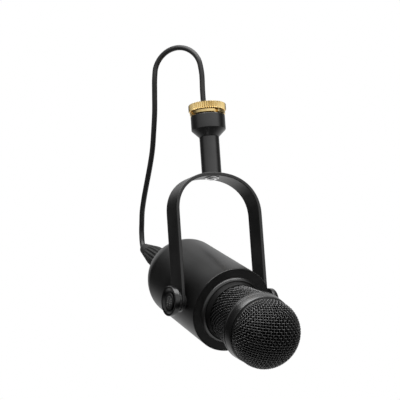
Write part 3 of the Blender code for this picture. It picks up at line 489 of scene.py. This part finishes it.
outer_wall = [(0.0249, FRONT - REBATE), (0.0249, FRONT - 0.0001), (0.0252, FRONT), (0.0254, FRONT - 0.0001),
              (FRONT_RADIUS, FRONT - 0.0004), (FRONT_RADIUS, FRONT - 0.0008),
              (REAR_RADIUS, DOME_START + 0.0004), (REAR_RADIUS, DOME_START)]
outer_wall += tail_outline(REAR_RADIUS, DOME_LENGTH) + [(MOUTH_RADIUS - 0.0003, MOUTH_Z)]
inner_wall = [(0.0235, FRONT - REBATE), (REAR_RADIUS - WALL, DOME_START)]
inner_wall += tail_outline(REAR_RADIUS - WALL, DOME_LENGTH - WALL)
barrel_shape = turned(outer_wall + inner_wall[::-1], MIC, MIC_STEPS, ring=True)
barrel_paint = black_coat("barrel_paint", 0.008, 0.30, grain=0.00028, depth=0.000004, gloss=0.375)
piece("barrel_can", barrel_shape, barrel_paint, "mic", ["barrel_shell"])


# Electronics: a lacquered green board on a moulded bulkhead inside the can, with a capacitor and the
# amplifier's tinned can, and in the barrel's mouth the socket with its dark shell and brass pins.
def refinish(material, *names):
    """Gives CAD solids a finer surface and leaves their shapes as they are."""
    for name in names:
        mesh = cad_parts[name].data
        mesh.materials.clear()
        mesh.materials.append(material)


def moulded(name, value, roughness):
    """Moulded black plastic with a fine spark-eroded texture."""
    plastic = Finish(name)
    pit = plastic.cells(0.0004)
    drift = plastic.noise(0.006)
    colour = plastic.mix(tone(value * 0.8), tone(value * 1.25), drift)
    return plastic.surface({"Base Color": colour, "Roughness": roughness + 0.10 * pit,
                            "Normal": plastic.bump(pit, 0.00002, 0.35)})


board = Finish("solder_mask")
track = board.add("ShaderNodeTexBrick", {},
                  {"Vector": board.place, "Scale": 90.0, "Mortar Size": 0.02}, "Fac")
board_colour = board.mix((0.012, 0.11, 0.05, 1.0), (0.03, 0.22, 0.10, 1.0), track)
refinish(board.surface({"Base Color": board_colour, "Roughness": 0.3 + 0.2 * track}), "circuit_board")
bulkhead_plastic = moulded("bulkhead_plastic", 0.03, 0.45)
black_nickel = steel_finish("black_nickel", 0.04, 0.35)
contact_brass = brass_finish("contact_brass")
refinish(bulkhead_plastic, "bulkhead", "filter_capacitor", "socket_insert")
refinish(steel_finish("tinned_steel", 0.6, 0.3), "amplifier_can")
refinish(black_nickel, "socket_shell")
refinish(contact_brass, "socket_pin_1", "socket_pin_2", "socket_pin_3")


# Pivots: on each side a steel stud through strip and barrel into a brass nut, a rubber spacer inside the
# strip, a washer outside it, and a black metal knob with a dished face and a cap with bright studs.
def rubber_finish(name, value=0.016, roughness=0.55):
    """Black rubber, slightly mottled and dusty."""
    rubber = Finish(name)
    mottle = rubber.noise(0.0009, 4.0)
    colour = rubber.mix(tone(value * 0.7), tone(value * 1.5), mottle)
    return rubber.surface({"Base Color": colour, "Roughness": roughness + 0.2 * mottle,
                           "Normal": rubber.bump(mottle, 0.00002, 0.4)})


refinish(steel_finish("stud_steel", 0.5, 0.3), "left_pivot_stud", "right_pivot_stud")
refinish(contact_brass, "left_pivot_nut", "right_pivot_nut")
refinish(rubber_finish("spacer_rubber"), "left_spacer", "right_spacer")
refinish(moulded("washer_plastic", 0.015, 0.4), "left_knob_washer", "right_knob_washer")
KNOB_IN = 0.0320
KNOB_OUT = 0.0352
KNOB_RADIUS = 0.0088
DISH_FLOOR = KNOB_OUT - 0.0013
SEAT_RADIUS = 0.0028
SEAT_FLOOR = KNOB_IN + 0.0012
knob_profile = [(0.0, DISH_FLOOR), (0.0056, DISH_FLOOR), (0.0060, DISH_FLOOR + 0.0001),
                (0.0066, DISH_FLOOR + 0.0005), (0.0071, DISH_FLOOR + 0.0010), (0.0074, KNOB_OUT - 0.0001),
                (0.0077, KNOB_OUT), (0.0085, KNOB_OUT), (0.0087, KNOB_OUT - 0.0002),
                (KNOB_RADIUS, KNOB_OUT - 0.0004), (KNOB_RADIUS, KNOB_IN + 0.0003), (0.0085, KNOB_IN),
                (SEAT_RADIUS, KNOB_IN), (SEAT_RADIUS, SEAT_FLOOR), (0.0, SEAT_FLOOR)]
CAP_RADIUS = 0.0049
CAP_FACE = KNOB_OUT - 0.0005
CAP_BACK = DISH_FLOOR + 0.0003
cap_profile = [(0.0, CAP_FACE), (0.0036, CAP_FACE), (0.0038, CAP_FACE + 0.0002),
               (0.0046, CAP_FACE + 0.0002), (CAP_RADIUS, CAP_FACE - 0.0001), (CAP_RADIUS, CAP_BACK),
               (0.0, CAP_BACK)]
STUD_PITCH = 0.0013
STUD_COLUMN = 1.6 * STUD_PITCH
STUD_FIELD = 2.3 * STUD_PITCH
STUD_RADIUS = 0.00032
FLATTENED = Matrix.Diagonal((1.0, 1.0, 0.6, 1.0))
knob_plating = steel_finish("knob_plating", 0.065, 0.22)
cap_paint = black_coat("cap_paint", 0.014, 0.36, grain=0.0002, depth=0.000006)
stud_tips = steel_finish("stud_tips", 0.45, 0.2)
for side, body in ((-1, "left_knob"), (1, "right_knob")):
    outwards = Matrix.Translation(PIVOT) @ Matrix.Rotation(side * pi / 2, 4, "Y")
    wheel_shape = turned(knob_profile, outwards)
    piece(f"{body}_wheel", wheel_shape, knob_plating, body, [body])
    cap_shape = turned(cap_profile, outwards, 72)
    piece(f"{body}_studded_cap", cap_shape, cap_paint, body, [f"{body}_cap"])
    studs = bmesh.new()
    for column in range(-1, 2):
        for row in range(-3, 4):
            across = column * STUD_COLUMN
            up = (row + 0.5 * (column % 2)) * STUD_PITCH
            if hypot(across, up) < STUD_FIELD:
                spot = outwards @ Matrix.Translation((up, across, CAP_FACE)) @ FLATTENED
                bmesh.ops.create_uvsphere(studs, u_segments=10, v_segments=6, radius=STUD_RADIUS,
                                          matrix=spot)
    piece(f"{body}_studs", studs, stud_tips, body)

# Front bezel: a flat glossy black ring pressed into the can, with a raised lip, and inside it a matt
# conical collar that holds the rear of the mesh sleeve. The collar's coat is a darker, duller copy of the
# ring's, painted shade for the shadowed foot of the sleeve.
BEZEL_BACK = 0.0112
LIP_FLOOR = 0.0150
bezel_profile = [(0.0146, LIP_FLOOR), (0.0183, LIP_FLOOR), (0.0184, 0.0154), (0.0187, 0.0156),
                 (0.0190, 0.0155), (0.0195, 0.0151), (0.0199, 0.0145), (0.0201, FRONT),
                 (0.0248, FRONT - 0.0001), (0.0248, BEZEL_BACK), (0.0146, BEZEL_BACK)]
bezel_plastic = black_coat("bezel_plastic", 0.008, 0.28, gloss=1.0)
bezel_shape = turned(bezel_profile, MIC, MIC_STEPS, ring=True)
piece("bezel_ring", bezel_shape, bezel_plastic, "mic", ["front_bezel"])
collar_profile = [(0.0169, LIP_FLOOR), (0.0169, 0.0188), (0.0172, 0.0191), (0.0174, 0.0190),
                  (0.0181, 0.0158), (0.0183, 0.0154), (0.0183, LIP_FLOOR)]
# Painted shade: the collar is coated darker and less glossy than the ring it belongs to, for the shadow at
# the foot of the sleeve.
collar_plastic_painted_shade = black_coat("collar_plastic_painted_shade", 0.005, 0.42, gloss=0.22)
collar_shape = turned(collar_profile, MIC, MIC_STEPS, ring=True)
piece("sleeve_collar", collar_shape, collar_plastic_painted_shade, "mic")


# Mesh sleeve: square-woven black steel wire, cut as a flat half ring and rolled to a cone. It stands
# between the bezel's collar and the band, over a foam liner.
def wire_shape(name, lines, radius, roundness, place=None):
    """Round wires as one mesh: every line is the list of points that a wire runs through."""
    curve = bpy.data.curves.new(name, "CURVE")
    curve.dimensions = "3D"
    curve.bevel_depth = radius
    curve.bevel_resolution = roundness
    curve.use_fill_caps = True
    for points in lines:
        spline = curve.splines.new("POLY")
        spline.points.add(len(points) - 1)
        spline.points.foreach_set("co", np.column_stack([points, np.ones(len(points))]).ravel())
    drawn = bpy.data.objects.new(name + "_lines", curve)
    mesh = bpy.data.meshes.new_from_object(drawn)
    bpy.data.objects.remove(drawn)
    shape = bmesh.new()
    shape.from_mesh(mesh)
    bpy.data.meshes.remove(mesh)
    if place:
        bmesh.ops.transform(shape, matrix=place, verts=shape.verts)
    return shape


def wire_finish(name):
    """Blackened steel wire, a little brighter where its coat has worn."""
    wire = Finish(name)
    wear = wire.noise(0.0011, 3.0)
    colour = wire.mix(tone(0.09), tone(0.15), wear.above(0.4, 0.75))
    return wire.surface({"Base Color": colour, "Metallic": 1.0, "Roughness": 0.14 + 0.10 * wear})


def foam_finish(name):
    """Open-cell black foam, coloured darker than foam is so that the holes of the mesh in front of it read
    as deep shadow: partly its own black, partly painted shade.
    """
    cell_size = 1.0 / 1400.0
    foam = Finish(name)
    cell = foam.cells(cell_size)
    # Painted shade: the near-black foam colour stands in for the shadow seen through the holes of the mesh.
    colour = foam.mix(tone(0.001), tone(0.003), cell)
    return foam.surface({"Base Color": colour, "Roughness": 0.85 + 0.15 * cell, "Specular IOR Level": 0.1,
                         "Normal": foam.bump(cell, 0.0003, 0.8)})


MESH_PITCH = 0.00165
MESH_WIRE = 0.00022
WEAVE = 0.00025
SLEEVE_REAR = 0.0155
SLEEVE_FRONT = 0.0412
SLEEVE_SEAM = radians(-10)
FLAT_HOLE = 0.0330
FLAT_EDGE = FLAT_HOLE + SLEEVE_FRONT - SLEEVE_REAR
CONE_REAR = 0.0153
CONE_RADIUS = 0.01604
CONE_FLARE = 0.0038 / 0.0259


def sleeve_point(u, v, lift):
    """A point of the flat half ring of mesh, rolled up to the cone and drawn in at its wide end."""
    along = SLEEVE_REAR + hypot(u, v) - FLAT_HOLE
    radius = CONE_RADIUS + CONE_FLARE * (along - CONE_REAR) + lift
    turn = 2 * atan2(v, u) + SLEEVE_SEAM
    return (radius * cos(turn), radius * sin(turn), along)


def wires(spans, lengthwise, place_point):
    """One family of wires in the flat weave, from every wire's number and the stretches it spans."""
    side = 1 if lengthwise else -1
    lines = []
    for number, stretches in spans:
        offset = number * MESH_PITCH
        for start, stop in stretches:
            first, last = round(2 * start / MESH_PITCH), round(2 * stop / MESH_PITCH)
            points = []
            for k in range(first, last + 1):
                over = 0.0 if k % 2 else side * WEAVE * (-1) ** (k // 2 + number)
                run = k * MESH_PITCH / 2
                u, v = (run, offset) if lengthwise else (offset, run)
                points.append(place_point(u, v, over))
            if len(points) > 2:
                lines.append(points)
    return lines


def chord(radius, number):
    """Half the length of a wire where it crosses a circle round the middle of the flat weave."""
    return sqrt(max(radius ** 2 - (number * MESH_PITCH) ** 2, 0.0))


sleeve_count = int(FLAT_EDGE / MESH_PITCH)
long_spans = []
for number in range(1, sleeve_count + 1):
    hole, edge = chord(FLAT_HOLE, number), chord(FLAT_EDGE, number)
    long_spans.append((number, [(-edge, -hole), (hole, edge)] if hole else [(-edge, edge)]))
cross_spans = []
for number in range(-sleeve_count, sleeve_count + 1):
    cross_spans.append((number, [(chord(FLAT_HOLE, number), chord(FLAT_EDGE, number))]))
stoved_wire = wire_finish("stoved_wire")
sleeve_lines = wires(long_spans, True, sleeve_point) + wires(cross_spans, False, sleeve_point)
sleeve_shape = wire_shape("mesh_sleeve", sleeve_lines, MESH_WIRE, roundness=0, place=MIC)
piece("mesh_sleeve", sleeve_shape, stoved_wire, "mic", ["rear_mesh_sleeve"], crease=180)
LINER_WALL = 0.0010
liner_profile = [(0.0192, SLEEVE_FRONT), (0.0154, CONE_REAR), (0.0154 - LINER_WALL, CONE_REAR),
                 (0.0192 - LINER_WALL, SLEEVE_FRONT)]
black_foam_painted_shade = foam_finish("black_foam_painted_shade")
liner_shape = turned(liner_profile, MIC, ring=True)
liner = piece("sleeve_lining", liner_shape, black_foam_painted_shade, "mic", ["sleeve_liner"])

# Capsule: a brass housing in a rubber mounting ring behind the grille, with a drilled backplate and a
# gold film that the clamp ring keeps taut.
gold = Finish("gold_film")
ripple = gold.noise(0.002)
gold_colour = gold.mix((0.85, 0.58, 0.22, 1.0), (0.95, 0.72, 0.34, 1.0), ripple)
gold_film = gold.surface({"Base Color": gold_colour, "Metallic": 1.0, "Roughness": 0.12 + 0.1 * ripple})
refinish(gold_film, "capsule_diaphragm")
refinish(brass_finish("capsule_brass"), "capsule_housing", "capsule_backplate", "capsule_clamp_ring")
refinish(rubber_finish("mount_rubber"), "capsule_mount")

# Band: a turned black ring between sleeve and dome, satin on its broad face. It has a bead at its rear
# edge, and a step in front that takes the dome's rim.
BAND_REAR = 0.0415
BAND_FRONT = 0.0510
BAND_BORE = 0.0182
band_profile = [(0.0196, BAND_FRONT), (0.0197, 0.0491), (0.0203, 0.0490), (0.0206, 0.0488),
                (0.0207, 0.0484), (0.0210, 0.0440), (0.0207, 0.0437), (0.0206, 0.0433), (0.0207, 0.0430),
                (0.0210, 0.0428), (0.0211, 0.0423), (0.0210, 0.0418), (0.0206, BAND_REAR),
                (BAND_BORE, BAND_REAR), (BAND_BORE, BAND_FRONT)]
band_satin = black_coat("band_satin", 0.006, 0.22, grain=0.0002, depth=0.000004, gloss=1.0)
band_shape = turned(band_profile, MIC, MIC_STEPS, ring=True)
piece("band_ring", band_shape, band_satin, "mic", ["grille_band"])

# Dome: a flat disc of the same woven wire, pressed to a round nose and held at its rim by the band,
# with a foam shell behind it.
BALL_RIM = 0.0507
BALL_WIDEST = 0.0545
BALL_RADIUS = 0.0205
BALL_FULLNESS = 0.97
BALL_NOSE = 0.0168
RIM_TUCK = 0.0004
WEAVE_INSET = 0.00045
FOAM_OUTER = 0.0012
FOAM_INNER = 0.0046
FOAM_POINTS = 24
WEAVE_POINTS = 240
SLOPE_RUN = 1e-5


def ball_outline(inset, count):
    """(radius, height) along the dome from nose to rim, moved inwards."""
    points = []
    for k in range(count + 1):
        angle = pi / 2 * (1 - k / count)
        points.append(((BALL_RADIUS - inset) * cos(angle) ** BALL_FULLNESS,
                       BALL_WIDEST + (BALL_NOSE - inset) * sin(angle) ** BALL_FULLNESS))
    points.append((BALL_RADIUS - RIM_TUCK - inset, BALL_RIM))
    return points


weave_radii, weave_heights = np.array(ball_outline(WEAVE_INSET, WEAVE_POINTS)).T
weave_runs = np.concatenate([[0.0], np.cumsum(np.hypot(np.diff(weave_radii), np.diff(weave_heights)))])


def on_dome(run):
    """(radius, height) of the pressed weave at that distance from its nose."""
    return np.interp(run, weave_runs, weave_radii), np.interp(run, weave_runs, weave_heights)


def dome_point(u, v, lift):
    """A point of the flat weave, pressed onto the dome at the same distance from its nose."""
    run = hypot(u, v)
    radius, height = on_dome(run)
    radius_ahead, height_ahead = on_dome(run + SLOPE_RUN)
    slope = Vector((radius_ahead - radius, height_ahead - height)).normalized()
    radius -= slope.y * lift
    height += slope.x * lift
    turn = atan2(v, u)
    return (radius * cos(turn), radius * sin(turn), height)


dome_reach = weave_runs[-1]
dome_count = int(dome_reach / MESH_PITCH)
dome_spans = []
for number in range(-dome_count, dome_count + 1):
    half = chord(dome_reach, number)
    dome_spans.append((number, [(-half, half)]))
dome_lines = wires(dome_spans, True, dome_point) + wires(dome_spans, False, dome_point)
dome_shape = wire_shape("mesh_dome", dome_lines, MESH_WIRE, roundness=0, place=MIC)
piece("mesh_dome", dome_shape, stoved_wire, "mic", ["front_mesh"], crease=180)
foam_profile = ball_outline(FOAM_OUTER, FOAM_POINTS) + ball_outline(FOAM_INNER, FOAM_POINTS)[::-1]
foam_shell = piece("foam_shell", turned(foam_profile, MIC), black_foam_painted_shade, "mic", ["grille_foam"])

# Plug: a moulded grip with lengthwise flutes behind the socket's mouth, round a dark metal body and its
# insert, and a rubber boot that tapers to the lead.
FLUTES = 18
FLUTE_POINTS = 8
grip_rings = [(0.0060, -0.0670, 0.0), (0.0060, -0.0690, 0.0), (0.0072, -0.0690, 0.0001),
              (0.0076, -0.0695, 0.0006), (0.0066, -0.0850, 0.0007), (0.0056, -0.0900, 0.0006),
              (0.0051, -0.0921, 0.0001), (0.0047, -0.0925, 0.0)]
grip_shape = fluted(FLUTES, FLUTE_POINTS, grip_rings, MIC)
grip_plastic = moulded("grip_plastic", 0.006, 0.50)
piece("fluted_grip", grip_shape, grip_plastic, "mic", ["plug_grip"])
refinish(black_nickel, "plug_body")
refinish(bulkhead_plastic, "plug_insert")
BOOT_TOP = -0.0928
BOOT_LOW = -0.1018
LEAD_HOLE = 0.0017
LEAD_SEAT = -0.0995
boot_profile = [(0.0, BOOT_TOP), (0.0047, BOOT_TOP), (0.0049, -0.0931), (0.0048, -0.0938),
                (0.0035, -0.0998), (0.0034, -0.1006), (0.0031, -0.1013), (0.0025, BOOT_LOW),
                (LEAD_HOLE, BOOT_LOW), (LEAD_HOLE, LEAD_SEAT), (0.0, LEAD_SEAT)]
boot_rubber = rubber_finish("boot_rubber", 0.012, 0.45)
piece("tapered_boot", turned(boot_profile, MIC, 64), boot_rubber, "mic", ["plug_boot"])

# Lead: one black rubber cable. It leaves the boot, rises behind the barrel, arches over higher than the
# adapter, and the rest is wound in a flat coil of two layers behind the stem, with its jack beside it.
CABLE = 0.0033
SPACING = 0.0020
ROUTE_STEPS = 16
BEARING = radians(30.4)
AWAY = Vector((sin(BEARING), cos(BEARING), 0.0))
ACROSS = Vector((cos(BEARING), -sin(BEARING), 0.0))
UP = Vector((0.0, 0.0, 1.0))
COIL_NEAR = 0.0224
COIL_RADIUS = 0.0196
COIL_Z = -0.0163
COIL_STEP = 0.0038
TURNS_IN = 2.75
TURNS = 5.75
TURN_POINTS = 48
ARCH_FOOT = 0.0280
LOOP_RISE = 0.0162
LOOP_POINTS = 8
BOOT_REACH = 0.1008
back = Vector((0.0, cos(TILT), sin(TILT)))
boot_end = PIVOT + back * BOOT_REACH


def stowed(behind, across, height):
    """A spot behind the stem, by its distance from the stem, its place across and its height."""
    return AWAY * behind + ACROSS * across + UP * height


def run_lengths(points):
    """How far along a line of points each of them lies."""
    return np.concatenate([[0.0], np.cumsum(np.linalg.norm(np.diff(points, axis=0), axis=1))])


def smooth_route(points):
    """Evenly spaced points on a smooth curve through the route's own points."""
    route = np.array([tuple(p) for p in points])
    knots = run_lengths(route)
    slopes = np.gradient(route, knots, axis=0)
    fine = []
    for i in range(len(route) - 1):
        span = knots[i + 1] - knots[i]
        for t in np.linspace(0.0, 1.0, ROUTE_STEPS, endpoint=False):
            ease = t * t * (3 - 2 * t)
            bend = t * (1 - t) * ((1 - t) * slopes[i] - t * slopes[i + 1]) * span
            fine.append(route[i] * (1 - ease) + route[i + 1] * ease + bend)
    fine = np.array(fine + [route[-1]])
    run = run_lengths(fine)
    stops = np.linspace(0.0, run[-1], round(run[-1] / SPACING) + 1)
    return [Vector([np.interp(s, run, fine[:, axis]) for axis in range(3)]) for s in stops]


rise = [(0.0006, 0.0924, -0.0672), (0.0009, 0.0930, -0.0624), (0.0007, 0.0924, -0.0588),
        (0.0001, 0.0906, -0.0554), (-0.0019, 0.0855, -0.0489), (-0.0034, 0.0795, -0.0418),
        (-0.0042, 0.0729, -0.0328), (-0.0045, 0.0672, -0.0238), (-0.0048, 0.0622, -0.0147),
        (-0.0058, 0.0569, -0.0032), (-0.0066, 0.0526, 0.0085), (-0.0075, 0.0496, 0.0193),
        (-0.0081, 0.0471, 0.0288)]
top = Vector(rise[-1])
landing = stowed(COIL_NEAR, -COIL_STEP / 2, ARCH_FOOT)
arch = []
for i in range(1, LOOP_POINTS + 1):
    angle = pi * i / LOOP_POINTS
    arch.append(top.lerp(landing, (1 - cos(angle)) / 2) + UP * LOOP_RISE * sin(angle))
coil = []
for i in range(round(TURNS * TURN_POINTS) + 1):
    turns = i / TURN_POINTS
    angle = 2 * pi * turns
    radius = COIL_RADIUS - COIL_STEP * (TURNS_IN - abs(turns - TURNS_IN))
    share = min(max(2 * (turns - TURNS_IN) + 0.5, 0.0), 1.0)
    layer = COIL_STEP * (share * share * (3 - 2 * share) - 0.5)
    coil.append(stowed(COIL_NEAR + COIL_RADIUS - radius * cos(angle), layer, COIL_Z - radius * sin(angle)))
drop = [stowed(COIL_NEAR, -COIL_STEP / 2, ARCH_FOOT / 2), stowed(COIL_NEAR, -COIL_STEP / 2, 0.0),
        coil[0] + UP * CABLE]
free = [boot_end - back * 0.001] + smooth_route([boot_end + back * 0.0025] + rise + arch + drop)
leave = coil[-1] - AWAY * CABLE
jack_top = stowed(0.0158, 0.0, -0.0040)
turn_down = [leave, leave - AWAY * 0.0028, stowed(0.0270, COIL_STEP / 2, leave.z + 0.0012),
             stowed(0.0215, COIL_STEP / 2, leave.z + 0.0002), stowed(0.0174, 0.0010, leave.z - 0.0030),
             jack_top + UP * 0.0025]
lead_path = free + coil + smooth_route(turn_down) + [jack_top - UP * 0.0005]
lead_shape = wire_shape("lead", [lead_path], CABLE / 2, roundness=4)
bmesh.ops.remove_doubles(lead_shape, verts=lead_shape.verts, dist=MERGE_DISTANCE)
lead_rubber = rubber_finish("lead_rubber", 0.018, 0.28)
lead_solids = ["cable", "cable_coil", "cable_tail"]
lead = piece("lead", lead_shape, lead_rubber, None, lead_solids, crease=70)
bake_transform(lead)
lead_length = sum((b - a).length for a, b in zip(lead_path, lead_path[1:]))

# Jack, tie and base: the moulded jack plug at the lead's end with its gilt contact, and a nylon strap
# that holds it and the coil to a stick-on base behind the stem.
refinish(rubber_finish("jack_rubber", 0.02, 0.5), "jack_boot")
refinish(moulded("jack_plastic", 0.02, 0.35), "jack_shell")
refinish(gold_film, "jack_contact")
refinish(moulded("tie_nylon", 0.016, 0.32), "cable_tie", "tie_base")
